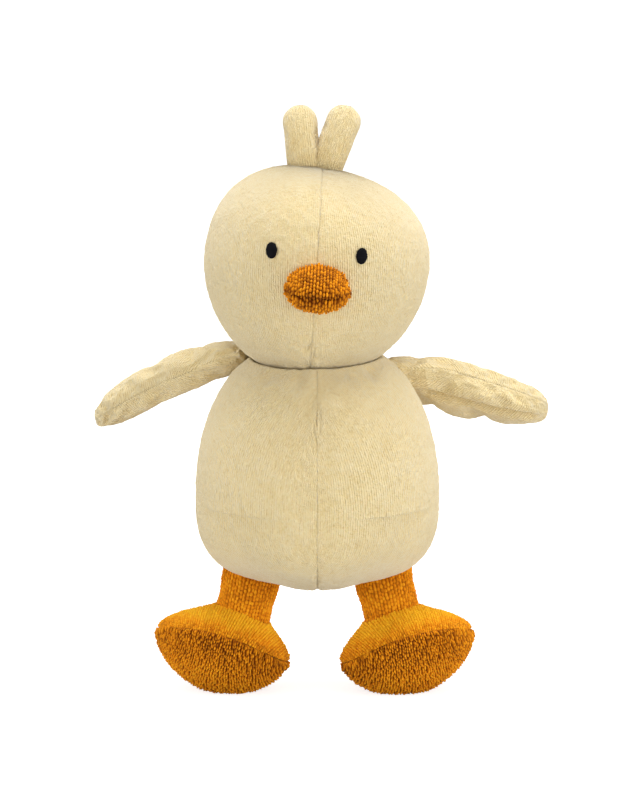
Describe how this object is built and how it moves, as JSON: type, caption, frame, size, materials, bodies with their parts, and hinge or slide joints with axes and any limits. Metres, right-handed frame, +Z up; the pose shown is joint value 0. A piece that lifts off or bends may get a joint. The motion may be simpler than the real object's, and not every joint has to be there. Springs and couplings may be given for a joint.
{
  "type": "plush chick",
  "caption": "Stuffed velour chick with a round head, crest and scalloped wings, and a terry beak, legs and feet; head, crest, wings, legs and feet bend at their seams.",
  "frame": {"origin": "on the floor under the middle of the toy's width and depth, standing on its soles", "axes": "+Z up, -Y the way the face looks, +X the chick's own left"},
  "size_m": [0.1818, 0.1032, 0.2369],
  "materials": {
    "velour": "matte short pile velour, pale yellow",
    "terry": "matte loop towelling, mustard",
    "filling": "loose white fibre filling",
    "eye_thread": "satin stitch in black thread",
    "seam_thread": "pale sewing thread"
  },
  "bodies": {
    "torso": {"body_panel_left": "velour", "body_panel_right": "velour", "body_filling": "filling"},
    "neck": {"neck_seam_thread": "seam_thread"},
    "head": {"head_panel_left": "velour", "head_panel_right": "velour", "head_filling": "filling", "eye_left": "eye_thread", "eye_right": "eye_thread", "beak_upper": "terry", "beak_lower": "terry", "beak_filling": "filling"},
    "crest_left": {"crest_left_front": "velour", "crest_left_back": "velour", "crest_left_filling": "filling"},
    "wing_left": {"wing_left_top": "velour", "wing_left_under": "velour", "wing_left_filling": "filling"},
    "leg_left": {"leg_left_sleeve": "terry", "leg_left_filling": "filling"},
    "foot_left": {"foot_left_upper": "terry", "foot_left_sole": "terry", "foot_left_filling": "filling"},
    "crest_right": {"crest_right_front": "velour", "crest_right_back": "velour", "crest_right_filling": "filling"},
    "wing_right": {"wing_right_top": "velour", "wing_right_under": "velour", "wing_right_filling": "filling"},
    "leg_right": {"leg_right_sleeve": "terry", "leg_right_filling": "filling"},
    "foot_right": {"foot_right_upper": "terry", "foot_right_sole": "terry", "foot_right_filling": "filling"}
  },
  "joints": [
    {"name": "head_turn", "type": "hinge", "parent": "torso", "child": "neck", "pos_m": [-0.00207, 0.00624, 0.17171], "axis": [0, 0, 1], "range_deg": [-20, 20], "stiffness_Nm_per_rad": 0.15},
    {"name": "head_nod", "type": "hinge", "parent": "neck", "child": "head", "pos_m": [-0.00207, 0.00624, 0.17171], "axis": [1, 0, 0], "range_deg": [-10, 10], "stiffness_Nm_per_rad": 0.15},
    {"name": "crest_left_bend", "type": "hinge", "parent": "head", "child": "crest_left", "pos_m": [0.00363, 0.01025, 0.21363], "axis": [0.9981, 0, -0.061], "range_deg": [-40, 40], "stiffness_Nm_per_rad": 0.004},
    {"name": "wing_left_flap", "type": "hinge", "parent": "torso", "child": "wing_left", "pos_m": [0.03113, 0.02036, 0.13007], "axis": [0.136, -0.9402, 0.3124], "range_deg": [-10, 60], "stiffness_Nm_per_rad": 0.05},
    {"name": "leg_left_swing", "type": "hinge", "parent": "torso", "child": "leg_left", "pos_m": [0.02414, 0.00924, 0.04702], "axis": [-0.9729, 0, -0.231], "range_deg": [-30, 42], "stiffness_Nm_per_rad": 0.3},
    {"name": "foot_left_flex", "type": "hinge", "parent": "leg_left", "child": "foot_left", "pos_m": [0.02784, 0.00924, 0.03145], "axis": [-0.9729, 0, -0.231], "range_deg": [-20, 15], "stiffness_Nm_per_rad": 0.3},
    {"name": "crest_right_bend", "type": "hinge", "parent": "head", "child": "crest_right", "pos_m": [-0.00796, 0.01026, 0.214], "axis": [0.9981, 0, -0.061], "range_deg": [-40, 40], "stiffness_Nm_per_rad": 0.004},
    {"name": "wing_right_flap", "type": "hinge", "parent": "torso", "child": "wing_right", "pos_m": [-0.03526, 0.02036, 0.13007], "axis": [0.3457, 0.9349, -0.0803], "range_deg": [-15, 60], "stiffness_Nm_per_rad": 0.05},
    {"name": "leg_right_swing", "type": "hinge", "parent": "torso", "child": "leg_right", "pos_m": [-0.02827, 0.00924, 0.04702], "axis": [-0.9729, 0, 0.231], "range_deg": [-30, 42], "stiffness_Nm_per_rad": 0.3},
    {"name": "foot_right_flex", "type": "hinge", "parent": "leg_right", "child": "foot_right", "pos_m": [-0.03197, 0.00924, 0.03145], "axis": [-0.9729, 0, 0.231], "range_deg": [-20, 15], "stiffness_Nm_per_rad": 0.3}
  ]
}
